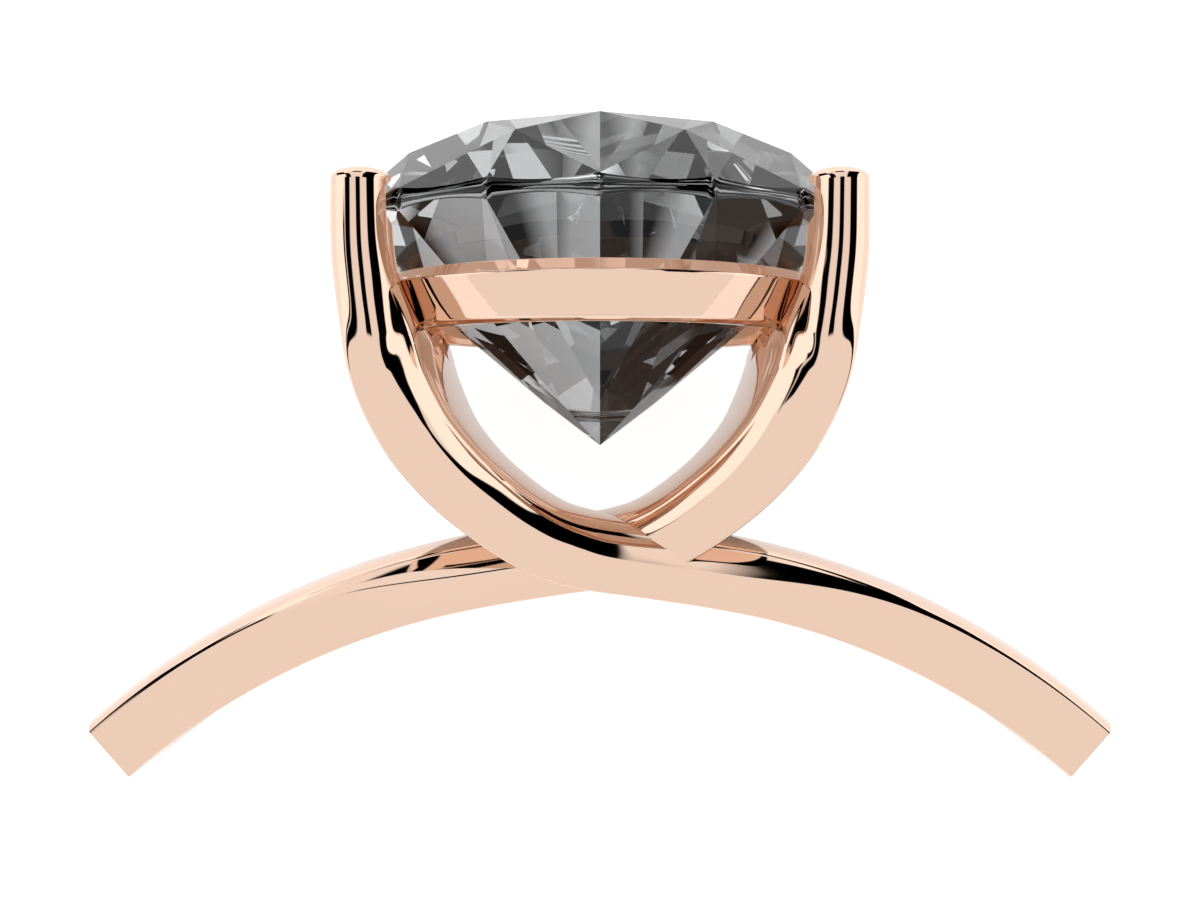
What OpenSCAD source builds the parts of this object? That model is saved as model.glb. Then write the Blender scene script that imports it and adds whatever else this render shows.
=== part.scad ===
// Solitaire ring head with part shank: two arms cross under a round brilliant stone and fork into four prongs.
// It is drawn upright, with the centre of the finger hole at the origin, +X to the right, +Y to the back and
// +Z towards the stone. The resting module then lays it on its side, as a ring lies on a table. Millimetres.

/* [Shank] */
// Inside diameter of the ring that the shank stubs belong to
finger_d = 17.64; // [17.4:0.02:17.9]
// Width of the shank along the finger
shank_w = 1.68; // [1.6:0.02:1.8]
// Angle from the top of the ring at which each stub is cut off square
stub_angle = 41.4; // [38:0.2:44]

/* [Stone] */
// Diameter of the stone at its girdle
stone_d = 6.5; // [6.3:0.02:6.5]
// Height of the culet above the top of the finger hole
culet_rise = 1.916; // [1.9:0.002:2]
// Table size as a part of the stone's diameter
table_ratio = 0.594; // [0.54:0.002:0.62]
// Slope of the crown's main facets
crown_angle = 35.9; // [33:0.1:37]
// Slope of the pavilion's main facets
pavilion_angle = 39.6; // [39:0.1:40.5]
// Height of the girdle's band where two main facets meet it
girdle_t = 0.25; // [0.15:0.01:0.3]

/* [Setting] */
// Depth of the prong wire, front to back
wire_deep = 0.62; // [0.56:0.01:0.7]
// Width of the prong wire, side to side
wire_wide = 0.67; // [0.6:0.01:0.72]
// Gap that the mount keeps all round the stone
seat_gap = 0.03; // [0.02:0.005:0.05]
// Height of the prong tips above the top of the finger hole
tip_rise = 5.14; // [5.08:0.01:5.2]

/* [Hidden] */

gold = [0.93, 0.72, 0.62];
smoke = [0.35, 0.35, 0.37];

finger_r = finger_d / 2;
shank_half = shank_w / 2;
// Small bevel along the finger side edges of the arms
edge = 0.03;
// Slope of the shoulder between the flat face and the crease, where it starts and where it ends
shoulder_start = tan(8);
shoulder_end = tan(43);

// Arm sections, from the right stub through the crossing to the left prongs. A smooth curve runs close by the
// rows without quite reaching them. The columns are:
// x, rise: the finger side edge of the arm, rise measured from the top of the finger hole
// lean: how far the arm stands forward where it passes the other arm
// half: half of the section's depth, front to back
// gap: half of the opening between the front and back strand
// face, crease, crest: heights of the flat face, of the crease and of the dome's top above that edge
// round: 0 for the shank's section, 1 for round wire
// Gap and round are a little below nothing at the fork's own row, so that both start there
X = 0;
RISE = 1;
LEAN = 2;
HALF = 3;
GAP = 4;
FACE = 5;
CREASE = 6;
CREST = 7;
ROUND = 8;

// Stations on the stub, at even steps from past its cut end towards the crossing: lean, face
stub_table = [
    [0, 0.725],
    [0, 0.725],
    [0, 0.72],
    [0, 0.715],
    [0, 0.7],
    [0.03, 0.59],
    [0.1, 0.435],
];
stub_rows = len(stub_table);
stub_step = stub_angle / stub_rows;
shank_crease = 0.755;
shank_crest = 0.905;
// Radius of the stub's rows that brings the smooth curve onto the finger hole
guide_r = finger_r * 3 / (2 + cos(stub_step));

// Stations from the crossing up to the fork
arm_table = [
    [0.919, -0.027, 0.16, shank_half, 0, 0.43, 0.72, 0.92, 0],
    [0.4, 0.051, 0.2, 0.85, 0, 0.42, 0.71, 0.94, 0],
    [-0.12, 0.12, 0.2, 0.9, 0, 0.44, 0.71, 0.95, 0],
    [-0.47, 0.2, 0.2, 0.96, 0, 0.5, 0.715, 0.95, 0],
    [-0.82, 0.32, 0.18, 1.05, 0, 0.515, 0.735, 0.94, 0],
    [-1.22, 0.54, 0.14, 1.19, 0, 0.53, 0.75, 0.95, 0],
    [-1.6, 0.82, 0.09, 1.36, 0, 0.54, 0.775, 0.96, 0],
    [-1.957, 1.121, 0.04, 1.54, 0, 0.545, 0.79, 0.97, 0],
    [-2.26, 1.452, 0.01, 1.74, 0, 0.555, 0.8, 0.98, 0],
    [-2.499, 1.781, 0, 1.93, 0, 0.565, 0.8, 0.98, 0],
    [-2.668, 2.107, 0, 2.09, 0, 0.535, 0.8, 0.99, 0],
    [-2.803, 2.432, 0, 2.21, 0, 0.455, 0.79, 0.99, 0],
    [-2.895, 2.749, 0, 2.29, -0.155, 0.36, 0.79, 0.98, -0.02],
];

// Stations above the fork: x, rise, gap, face, crease, crest, round
prong_x = -3.12;
prong_half = 2.33;
tip_cap = 0.14;
cap_angles = [30, 55, 75];
strand_crease = 0.55;
strand_table = [
    [-2.963, 3.039, 0.62, 0.23, 0.78, 0.95, 0.2],
    [-3.014, 3.372, 1.05, 0.14, 0.70, 0.84, 0.6],
    [-3.075, 3.727, 1.40, 0.14, strand_crease, 0.74, 1],
    [prong_x, 4.15, prong_half - 0.70, 0.14, strand_crease, 0.72, 1],
    [prong_x, 4.60, prong_half - wire_deep, 0.14, strand_crease, wire_wide + 0.02, 1],
    [prong_x, tip_rise - tip_cap, prong_half - wire_deep, 0.14, strand_crease, wire_wide, 1],
];

stations = concat(
    [for (k = [0 : stub_rows - 1])
        let (angle = (stub_rows + 1 - k) * stub_step, row = stub_table[k])
            [guide_r * sin(angle), guide_r * cos(angle) - finger_r, row[0],
                shank_half, 0, row[1], shank_crease, shank_crest, 0]],
    arm_table,
    [for (row = strand_table)
        [row[0], row[1], 0, prong_half, row[2], row[3], row[4], row[5], row[6]]]
);
fork_row = stub_rows + len(arm_table) - 1;
last_row = len(stations) - 1;
ring_steps = 2;

// The smooth curve past the stations, by four neighbouring rows at a time
function station_row(i) = i > last_row
    ? 2 * stations[last_row] - stations[last_row - 1]
    : stations[i];
function curve(a, b, c, d, t) =
    (pow(1 - t, 3) * a + (4 - 6 * t * t + 3 * t * t * t) * b
        + (1 + 3 * t + 3 * t * t - 3 * t * t * t) * c + t * t * t * d) / 6;
function slope(a, b, c, d, t) =
    ((3 * t * t - 4 * t) * b + (1 + 2 * t - 3 * t * t) * c + t * t * d - pow(1 - t, 2) * a) / 2;
function section(i, t) =
    curve(station_row(i - 1), station_row(i), station_row(i + 1), station_row(i + 2), t);
function heading(i, t) =
    let (s = slope(station_row(i - 1), station_row(i), station_row(i + 1), station_row(i + 2), t))
        [s[X], s[RISE]] / norm([s[X], s[RISE]]);

// Places round half a section, from its finger side to its crest and down the inner wall: the angle that
// each takes when the strand is round wire
wire_angles = [-135, -95, -60, -38, -15, 10, 30, 50, 75, 100, 135, 160, 195];
corners = len(wire_angles);
top_corner = 10;

function opened(s, column) = max(0, s[column]);
// How far the shoulder stands in from the flat face, by the part t of its height
function ledge(s, t) =
    (s[CREASE] - s[FACE]) * (shoulder_start * t + (shoulder_end - shoulder_start) * t * t / 2);
function dome(s, a) =
    let (inner = opened(s, GAP))
        [inner + (s[HALF] - ledge(s, 1) - inner) * cos(a), s[CREASE] + (s[CREST] - s[CREASE]) * sin(a)];
function flat_outline(s) =
    let (inner = opened(s, GAP), outer = s[HALF]) [
        [inner, 0],
        [(inner + outer) / 2, 0],
        [outer - edge, 0],
        [outer, edge],
        [outer, s[FACE] / 2],
        [outer, s[FACE]],
        [outer - ledge(s, 0.5), (s[FACE] + s[CREASE]) / 2],
        dome(s, 0),
        dome(s, 31),
        dome(s, 62),
        [inner, s[CREST]],
        [inner, s[CREST] * 2 / 3],
        [inner, s[CREST] / 3],
    ];
// The wire's own depth in front, and all the rest of the metal behind its middle
function wire_outline(s) =
    let (inner = opened(s, GAP), mid = s[HALF] - wire_deep / 2)
        [for (a = wire_angles)
            let (reach = cos(a))
                [mid + (reach > 0 ? wire_deep / 2 : mid - inner) * reach, s[CREST] / 2 * (1 + sin(a))]];
function outline(s) =
    let (round = opened(s, ROUND)) (1 - round) * flat_outline(s) + round * wire_outline(s);

// The outline of the front (side -1) or back (side 1) strand at a section, in place; shrink and lift
// round off the tip
function strand_ring(s, dir, side, shrink = 1, lift = 0) =
    let (mid = [(s[HALF] + opened(s, GAP)) / 2, s[CREST] / 2])
    [for (p = outline(s))
        let (q = mid + shrink * (p - mid))
            [s[X] + dir[1] * q[1], side * q[0] - s[LEAN], finger_r + s[RISE] - dir[0] * q[1] + lift]];

rings = concat(
    [for (i = [1 : last_row - 1], k = [0 : ring_steps - 1])
        let (s = section(i, k / ring_steps), dir = heading(i, k / ring_steps))
            [for (side = [-1, 1]) each strand_ring(s, dir, side)]],
    [let (s = stations[last_row]) [for (side = [-1, 1]) each strand_ring(s, [0, 1], side)]],
    [for (a = cap_angles)
        let (s = stations[last_row])
            [for (side = [-1, 1]) each strand_ring(s, [0, 1], side, cos(a), tip_cap * sin(a))]]
);
fork_ring = (fork_row - 1) * ring_steps;
last_ring = len(rings) - 1;

// Number of a point in the whole list; up to the fork the two strands share the middle of the section
function point_at(ring, strand, corner) =
    let (shared = ring <= fork_ring && (corner == 0 || corner >= top_corner))
        (ring * 2 + (shared ? 0 : strand)) * corners + corner;

// Two triangles between neighbouring rings, turned over for the back strand
function patch(ring, strand, corner) =
    let (
        next = (corner + 1) % corners,
        a = point_at(ring, strand, corner),
        b = point_at(ring, strand, next),
        c = point_at(ring + 1, strand, next),
        d = point_at(ring + 1, strand, corner)
    )
    strand == 0 ? [[a, c, b], [a, d, c]] : [[a, b, c], [a, c, d]];

function stub_end() = concat(
    [for (c = [top_corner : -1 : 1]) point_at(0, 1, c)],
    [for (c = [0 : top_corner - 1]) point_at(0, 0, c)]
);
function reversed(list) = [for (i = [len(list) - 1 : -1 : 0]) list[i]];
function tip_end(strand) = [for (c = [0 : corners - 1]) point_at(last_ring, strand, c)];

module arm() {
    walls = [for (r = [0 : last_ring - 1], strand = [0, 1])
        each [for (c = [0 : (r < fork_ring ? top_corner - 1 : corners - 1)]) each patch(r, strand, c)]];
    polyhedron(
        points = [for (ring = rings) each ring],
        faces = concat(walls, [stub_end()], [reversed(tip_end(0))], [tip_end(1)]),
        convexity = 8
    );
}

// Gallery rail: its outer side leans out towards the top, and the stone's pavilion rests in it
rail_inner_r = 2.5;
rail_profile = [
    [rail_inner_r, 3.31],
    [2.62, 3.31],
    [2.69, 3.35],
    [2.845, 3.61],
    [2.96, 3.85],
    [2.755, 4.0],
    [2.4, 4.0],
    [rail_inner_r, 3.75],
];

module rail() {
    translate([0, 0, finger_r])
        rotate_extrude($fn = 96)
            polygon(rail_profile);
}

// Stone heights, all from the culet
stone_r = stone_d / 2;
table_r = stone_r * table_ratio;
main_drop = tan(pavilion_angle);
girdle_low = stone_r * main_drop;
girdle_high = girdle_low + girdle_t;
table_z = girdle_high + (stone_r - table_r) * tan(crown_angle);
facet_turn = 22.5;
star_r = 0.7825 * stone_r;
star_z = table_z - (star_r * cos(facet_turn) - table_r) * tan(crown_angle);
// Where the lower halves start, on the edges between the pavilion mains
lower_r = 0.22 * stone_r;
lower_z = lower_r * cos(facet_turn) * main_drop;
lower_girdle = lower_z + (stone_r - lower_r) * 0.84;
// The facets run on past the girdle, and a true cylinder then trims them round
trim_r = 1.1 * stone_r;

function spot(r, turns, z) = [r * sin(turns * facet_turn), -r * cos(turns * facet_turn), z];
// Height at a spot of the plane through three points
function on_plane(a, b, c, x, y) =
    let (n = cross(b - a, c - a)) a[2] - (n[0] * (x - a[0]) + n[1] * (y - a[1])) / n[2];
function run_out(a, b, c, turns) =
    let (p = spot(trim_r, turns, 0)) [p[0], p[1], on_plane(a, b, c, p[0], p[1])];

table_pts = [for (k = [0 : 7]) spot(table_r, 2 * k, table_z)];
star_pts = [for (k = [0 : 7]) spot(star_r, 2 * k + 1, star_z)];
kite_pts = [for (k = [0 : 7]) spot(stone_r, 2 * k, girdle_high)];
crown_rim = [for (k = [0 : 7], odd = [0, 1])
    run_out(star_pts[k], kite_pts[k], spot(stone_r, 2 * k + 1, girdle_high), 2 * k + odd)];
lower_pts = [for (k = [0 : 7]) spot(lower_r, 2 * k, lower_z)];
main_pts = [for (k = [0 : 7]) spot(stone_r, 2 * k + 1, girdle_low)];
pavilion_rim = [for (k = [0 : 7], odd = [0, 1])
    run_out(lower_pts[k], main_pts[k], spot(stone_r, 2 * k, lower_girdle), 2 * k + odd)];

stone_points = concat(table_pts, star_pts, kite_pts, crown_rim, lower_pts, main_pts, pavilion_rim, [[0, 0, 0]]);
TABLE = 0;
STAR = 8;
KITE = 16;
CROWN = 24;
LOWER = 40;
MAIN = 48;
PAVILION = 56;
CULET = 72;

function crown_faces(k) =
    let (next = (k + 1) % 8, back = (k + 7) % 8) [
        [TABLE + k, STAR + k, TABLE + next],
        [TABLE + k, STAR + back, KITE + k, STAR + k],
        [STAR + k, KITE + k, CROWN + 2 * k, CROWN + 2 * k + 1],
        [STAR + k, CROWN + 2 * k + 1, CROWN + 2 * next, KITE + next],
    ];
function pavilion_faces(k) =
    let (next = (k + 1) % 8) [
        [CULET, LOWER + next, MAIN + k, LOWER + k],
        [LOWER + k, MAIN + k, PAVILION + 2 * k + 1, PAVILION + 2 * k],
        [LOWER + next, PAVILION + 2 * next, PAVILION + 2 * k + 1, MAIN + k],
    ];
function rim_faces(k) =
    let (next = (k + 1) % 16) [[CROWN + k, PAVILION + k, PAVILION + next, CROWN + next]];

module faceted_body() {
    polyhedron(
        points = stone_points,
        faces = [
            for (face = concat(
                [[for (k = [0 : 7]) TABLE + k]],
                [for (k = [0 : 7]) each crown_faces(k)],
                [for (k = [0 : 7]) each pavilion_faces(k)],
                [for (k = [0 : 15]) each rim_faces(k)]
            )) reversed(face)
        ],
        convexity = 4
    );
}

stone_z = finger_r + culet_rise;

module brilliant() {
    translate([0, 0, stone_z])
        intersection() {
            faceted_body();
            cylinder(r = stone_r, h = table_z, $fn = 128);
        }
}

// Room for the stone, as a turned shape that clears its facets all round
seat_r = stone_r + seat_gap;
seat_low = girdle_low - 1.5 * seat_gap;
seat_high = girdle_high + 1.5 * seat_gap;
seat_profile = [
    [0, seat_low - seat_r * main_drop],
    [seat_r, seat_low],
    [seat_r, seat_high],
    [table_r, table_z + 2 * seat_gap],
    [0, table_z + 2 * seat_gap],
];

module seat() {
    translate([0, 0, stone_z])
        rotate_extrude($fn = 128)
            polygon(seat_profile);
}

// The ring lies back on the two stub ends and on the stone's girdle
stub_foot = [shank_half, (finger_r + edge) * cos(stub_angle)];
girdle_foot = [stone_r, stone_z + lower_girdle];
lie_angle = atan2(girdle_foot[1] - stub_foot[1], girdle_foot[0] - stub_foot[0]);
rest_height = stub_foot[0] * sin(lie_angle) - stub_foot[1] * cos(lie_angle);
near_end = finger_r * cos(stub_angle) * sin(lie_angle) - (shank_half - edge) * cos(lie_angle);
far_end = (stone_z + table_z) * sin(lie_angle) + table_r * cos(lie_angle);
rest_shift = [0, -(near_end + far_end) / 2, rest_height];

module resting() {
    translate(rest_shift)
        rotate([-lie_angle, 0, 0])
            children();
}

module ring_mount() {
    color(gold)
        resting()
            difference() {
                union() {
                    arm();
                    rotate([0, 0, 180])
                        arm();
                    rail();
                }
                seat();
            }
}

module stone() {
    color(smoke)
        resting()
            brilliant();
}

ring_mount();
stone();
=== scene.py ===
"""Rose gold solitaire ring head: two crossed arms, four wire prongs, a gallery rail and a round brilliant.

The file is laid out as an add-on and run as a script. Its tables are in millimetres, in the ring's upright
frame: the centre of the finger hole at the origin, +X to the right, +Y to the back and +Z towards the stone.
lie() lays every point down on its side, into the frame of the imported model, and makes it metres.
"""

import math

import bpy
import numpy as np
from mathutils import Matrix


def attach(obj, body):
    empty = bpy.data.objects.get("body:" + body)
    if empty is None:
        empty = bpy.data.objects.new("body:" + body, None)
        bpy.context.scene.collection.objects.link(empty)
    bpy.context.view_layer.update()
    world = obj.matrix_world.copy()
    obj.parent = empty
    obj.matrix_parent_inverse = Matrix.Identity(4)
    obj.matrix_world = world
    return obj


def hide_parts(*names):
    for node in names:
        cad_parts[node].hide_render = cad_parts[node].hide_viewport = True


bl_info = {
    "name": "Solitaire Ring Head",
    "version": (1, 0, 0),
    "blender": (4, 5, 0),
    "location": "View3D > Sidebar > Ring",
    "description": "Builds a rose gold solitaire ring head with crossed arms and a round brilliant",
    "category": "Object",
}

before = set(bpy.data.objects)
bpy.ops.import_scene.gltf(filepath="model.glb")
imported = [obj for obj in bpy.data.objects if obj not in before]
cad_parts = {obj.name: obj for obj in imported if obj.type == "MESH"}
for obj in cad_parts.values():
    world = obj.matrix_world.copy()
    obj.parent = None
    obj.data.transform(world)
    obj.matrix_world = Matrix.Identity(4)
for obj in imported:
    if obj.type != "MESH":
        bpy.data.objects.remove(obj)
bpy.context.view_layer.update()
BODY = "root"
MM = 0.001

# Arm stations, from past the right stub's cut end through the crossing to the left prong tips. The columns:
# x, rise: the finger side edge of the arm, rise measured from the top of the finger hole
# lean: how far the arm stands forward where it passes the other arm
# half, gap: half of the section's depth, and half of the opening between the front and back strand
# face, crease, crest: heights of the flat face, of the crease and of the dome's top above that edge
# round: 0 for the shank's section, 1 for round wire
# Gap and round are a little below nothing at the fork's own row, so that both start there
X, RISE, LEAN, HALF, GAP, FACE, CREASE, CREST, ROUND = range(9)

# The stub's stations, at even steps down to its cut end: lean, face
STUB_TABLE = np.array([
    [0, 0.725],
    [0, 0.725],
    [0, 0.72],
    [0, 0.715],
    [0, 0.7],
    [0.03, 0.59],
    [0.1, 0.435],
])
STUB_CREASE = 0.755
STUB_CREST = 0.905

# From the crossing up to the fork
ARM_TABLE = np.array([
    [0.919, -0.027, 0.16, 0.84, 0, 0.43, 0.72, 0.92, 0],
    [0.4, 0.051, 0.2, 0.85, 0, 0.42, 0.71, 0.94, 0],
    [-0.12, 0.12, 0.2, 0.9, 0, 0.44, 0.71, 0.95, 0],
    [-0.47, 0.2, 0.2, 0.96, 0, 0.5, 0.715, 0.95, 0],
    [-0.82, 0.32, 0.18, 1.05, 0, 0.515, 0.735, 0.94, 0],
    [-1.22, 0.54, 0.14, 1.19, 0, 0.53, 0.75, 0.95, 0],
    [-1.6, 0.82, 0.09, 1.36, 0, 0.54, 0.775, 0.96, 0],
    [-1.957, 1.121, 0.04, 1.54, 0, 0.545, 0.79, 0.97, 0],
    [-2.26, 1.452, 0.01, 1.74, 0, 0.555, 0.8, 0.98, 0],
    [-2.499, 1.781, 0, 1.93, 0, 0.565, 0.8, 0.98, 0],
    [-2.668, 2.107, 0, 2.09, 0, 0.535, 0.8, 0.99, 0],
    [-2.803, 2.432, 0, 2.21, 0, 0.455, 0.79, 0.99, 0],
    [-2.895, 2.749, 0, 2.29, -0.155, 0.36, 0.79, 0.98, -0.02],
])

# The prongs: where their inner edge stands, how far front and back of the middle they reach, the height of
# the round cap on each tip, and the height of the crease along the wire
PRONG_X = -3.12
PRONG_HALF = 2.33
TIP_CAP = 0.14
STRAND_CREASE = 0.55

# Gallery rail, from the bottom of its outer side up and round: radius, rise. The outer side curves towards
# RAIL_BULGE, and each corner is softened from RAIL_SOFT before it to as far after it
RAIL_PROFILE = np.array([
    [2.69, 3.35],
    [2.96, 3.85],
    [2.755, 4.00],
    [2.40, 4.00],
    [2.50, 3.75],
    [2.50, 3.31],
    [2.62, 3.31],
])
RAIL_BULGE = np.array([2.84, 3.605])
RAIL_SOFT = 0.02

# The stone, as parts of its radius: where the pavilion's lower halves start, where the crown's stars end, and
# how far the facets next to the girdle run before they are trimmed. Then the lower halves' slope, and how far
# the trimming cylinder stands out at both ends
LOWER_START = 0.22
STAR_END = 0.7825
TRIM_REACH = 1.1
LOWER_SLOPE = 0.84
TRIM_MARGIN = 0.1
# Room in the seat below and above the girdle, and above the table, as parts of the seat gap
GIRDLE_ROOM = 1.5
TABLE_ROOM = 2

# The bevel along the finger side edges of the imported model, which rests on it
BEVEL = 0.03


class RingSizes(bpy.types.PropertyGroup):
    """Sizes of the ring head that a maker would change, in millimetres and degrees."""

    finger_d: bpy.props.FloatProperty(
        name="Finger hole", description="Inside diameter of the ring, in mm", default=17.64)
    shank_w: bpy.props.FloatProperty(
        name="Shank width", description="Width of the shank along the finger, in mm", default=1.68)
    stub_angle: bpy.props.FloatProperty(
        name="Stub angle", description="Angle from the top of the ring to each cut end",
        default=math.radians(41.4), subtype="ANGLE", unit="ROTATION")
    stone_d: bpy.props.FloatProperty(
        name="Stone", description="Diameter of the stone at its girdle, in mm", default=6.5)
    culet_rise: bpy.props.FloatProperty(
        name="Culet height", description="Height of the culet above the finger hole, in mm", default=1.916)
    table_ratio: bpy.props.FloatProperty(
        name="Table", description="Table size as a part of the stone's diameter", default=0.594)
    crown_angle: bpy.props.FloatProperty(
        name="Crown angle", description="Slope of the crown's main facets",
        default=math.radians(35.9), subtype="ANGLE", unit="ROTATION")
    pavilion_angle: bpy.props.FloatProperty(
        name="Pavilion angle", description="Slope of the pavilion's main facets",
        default=math.radians(39.6), subtype="ANGLE", unit="ROTATION")
    girdle_t: bpy.props.FloatProperty(
        name="Girdle", description="Height of the girdle where two main facets meet it, in mm", default=0.25)
    wire_deep: bpy.props.FloatProperty(
        name="Wire depth", description="Depth of the prong wire, front to back, in mm", default=0.62)
    wire_wide: bpy.props.FloatProperty(
        name="Wire width", description="Width of the prong wire, side to side, in mm", default=0.67)
    seat_gap: bpy.props.FloatProperty(
        name="Seat gap", description="Gap that the mount keeps round the stone, in mm", default=0.03)
    tip_rise: bpy.props.FloatProperty(
        name="Prong height", description="Height of the prong tips over the finger hole, in mm", default=5.14)


class RingColours(bpy.types.PropertyGroup):
    """Colours of the metal, the stone and the floor."""

    gold: bpy.props.FloatVectorProperty(
        name="Rose gold", description="Colour of the polished metal", subtype="COLOR",
        size=4, min=0, max=1, default=(0.84, 0.61, 0.48, 1))
    stone: bpy.props.FloatVectorProperty(
        name="Stone", description="Tint of the cut stone", subtype="COLOR",
        size=4, min=0, max=1, default=(0.86, 0.87, 0.88, 1))
    floor: bpy.props.FloatVectorProperty(
        name="Floor", description="Colour of the studio floor", subtype="COLOR",
        size=4, min=0, max=1, default=(0.93, 0.93, 0.93, 1))


# Rows from one station to the next, round each part of half a section, and round what is turned
STEPS_PER_STATION = 10
FILLET_STEPS = 7
SIDE_STEPS = 9
SHOULDER_STEPS = 14
DOME_STEPS = 16
WALL_STEPS = 9
TIP_STEPS = 9
RAIL_STEPS = 8
SOFT_STEPS = 4
TURN_SIDES = 288
# The fillet along the finger side edge, and the narrow strip that holds a side flat next to a rounding
FILLET = 0.045
HOLD = 0.006
# Slopes of the shoulder where it starts and where it ends. Over a shoulder lower than LOW_SHOULDER the dome
# starts DOME_START round its ellipse, so that it carries the slope on
SHOULDER_START = math.tan(math.radians(8))
SHOULDER_END = math.tan(math.radians(43))
DOME_START = math.radians(12)
LOW_SHOULDER = 0.05
# Below the prongs, where round wire rises out of the arm: how far the flat face sinks beside it, its turn,
# the height of its middle, its size where it starts and at the most, and how crisply it meets the face
FACE_SINK = 0.07
WIRE_TURN = math.radians(3)
WIRE_MIDDLE = 0.35
WIRE_FIRST = 0.7
WIRE_FULL = 0.97
CRISP = 20
# Angles round the wire that the section's parts turn into: bottom, fillet, face, shoulder, dome and wall
WIRE_ANGLES = [-135, -60, -38, 10, 50, 135, 225]
# Faces that meet at less than the first angle look smooth. The girdle's faces are those whose normal has less
# than the second value along the stone's axis
SMOOTH_BELOW = math.radians(26)
GIRDLE_LEVEL = 0.02


def finger_radius(sizes):
    return sizes.finger_d / 2


def stone_heights(sizes):
    """Heights of the stone above its culet: the girdle's two edges, the table and the lower halves' rim."""
    radius = sizes.stone_d / 2
    drop = math.tan(sizes.pavilion_angle)
    low = radius * drop
    high = low + sizes.girdle_t
    table = high + radius * (1 - sizes.table_ratio) * math.tan(sizes.crown_angle)
    lower_r = LOWER_START * radius
    lower_rim = lower_r * math.cos(math.pi / 8) * drop + (radius - lower_r) * LOWER_SLOPE
    return low, high, table, lower_rim


def resting(sizes):
    """Turn and shift that lay the ring on its stub ends and the stone's girdle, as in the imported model."""
    finger_r = finger_radius(sizes)
    table, lower_rim = stone_heights(sizes)[2:]
    stone_z = finger_r + sizes.culet_rise
    foot = np.array([sizes.shank_w / 2, (finger_r + BEVEL) * math.cos(sizes.stub_angle)])
    girdle = np.array([sizes.stone_d / 2, stone_z + lower_rim])
    turn = math.atan2(girdle[1] - foot[1], girdle[0] - foot[0])
    c, s = math.cos(turn), math.sin(turn)
    near = finger_r * math.cos(sizes.stub_angle) * s - (foot[0] - BEVEL) * c
    far = (stone_z + table) * s + sizes.stone_d / 2 * sizes.table_ratio * c
    return turn, np.array([0, -(near + far) / 2, foot[0] * s - foot[1] * c])


def lie(sizes, points):
    """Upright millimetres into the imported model's frame in metres: a turn about X, then the shift."""
    turn, shift = resting(sizes)
    c, s = math.cos(turn), math.sin(turn)
    x, y, z = np.moveaxis(points, -1, 0)
    return (np.stack([x, c * y + s * z, c * z - s * y], -1) + shift) * MM


def spline(rows, places):
    """Uniform cubic B-spline through a table's rows: each value blends four neighbouring rows by the cubic
    weights (1-t)^3, 3t^3-6t^2+4, 1+3t+3t^2-3t^3 and t^3 over 6. Returns the values and their slopes."""
    rows = np.vstack([rows, 2 * rows[-1] - rows[-2]])
    i = np.minimum(places.astype(int), len(rows) - 3)
    t = (places - i)[:, None]
    a, b, c, d = (rows[i + k] for k in (-1, 0, 1, 2))
    value = ((1 - t)**3 * a + (4 - 6 * t**2 + 3 * t**3) * b
             + (1 + 3 * t + 3 * t**2 - 3 * t**3) * c + t**3 * d) / 6
    slope = ((3 * t**2 - 4 * t) * b + (1 + 2 * t - 3 * t**2) * c + t**2 * d - (1 - t)**2 * a) / 2
    return value, slope


def arm_stations(sizes):
    """All stations of an arm in one table. The stub's lie on a circle a little wider than the finger hole, so
    that the spline itself runs on the finger hole."""
    finger_r = finger_radius(sizes)
    count = len(STUB_TABLE)
    step = sizes.stub_angle / count
    guide_r = finger_r * 3 / (2 + math.cos(step))
    angles = (count + 1 - np.arange(count)) * step
    stub = np.zeros((count, 9))
    stub[:, X] = guide_r * np.sin(angles)
    stub[:, RISE] = guide_r * np.cos(angles) - finger_r
    stub[:, LEAN] = STUB_TABLE[:, 0]
    stub[:, HALF] = sizes.shank_w / 2
    stub[:, FACE] = STUB_TABLE[:, 1]
    stub[:, CREASE] = STUB_CREASE
    stub[:, CREST] = STUB_CREST
    wire_gap = PRONG_HALF - sizes.wire_deep
    wide = sizes.wire_wide
    strand = np.array([
        [-2.963, 3.039, 0, PRONG_HALF, 0.62, 0.23, 0.78, 0.95, 0.20],
        [-3.014, 3.372, 0, PRONG_HALF, 1.05, 0.14, 0.70, 0.84, 0.60],
        [-3.075, 3.727, 0, PRONG_HALF, 1.40, 0.14, STRAND_CREASE, 0.74, 1],
        [PRONG_X, 4.15, 0, PRONG_HALF, PRONG_HALF - 0.70, 0.14, STRAND_CREASE, 0.72, 1],
        [PRONG_X, 4.60, 0, PRONG_HALF, wire_gap, 0.14, STRAND_CREASE, wide + 0.02, 1],
        [PRONG_X, sizes.tip_rise - TIP_CAP, 0, PRONG_HALF, wire_gap, 0.14, STRAND_CREASE, wide, 1],
    ])
    return np.vstack([stub, ARM_TABLE, strand])


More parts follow.
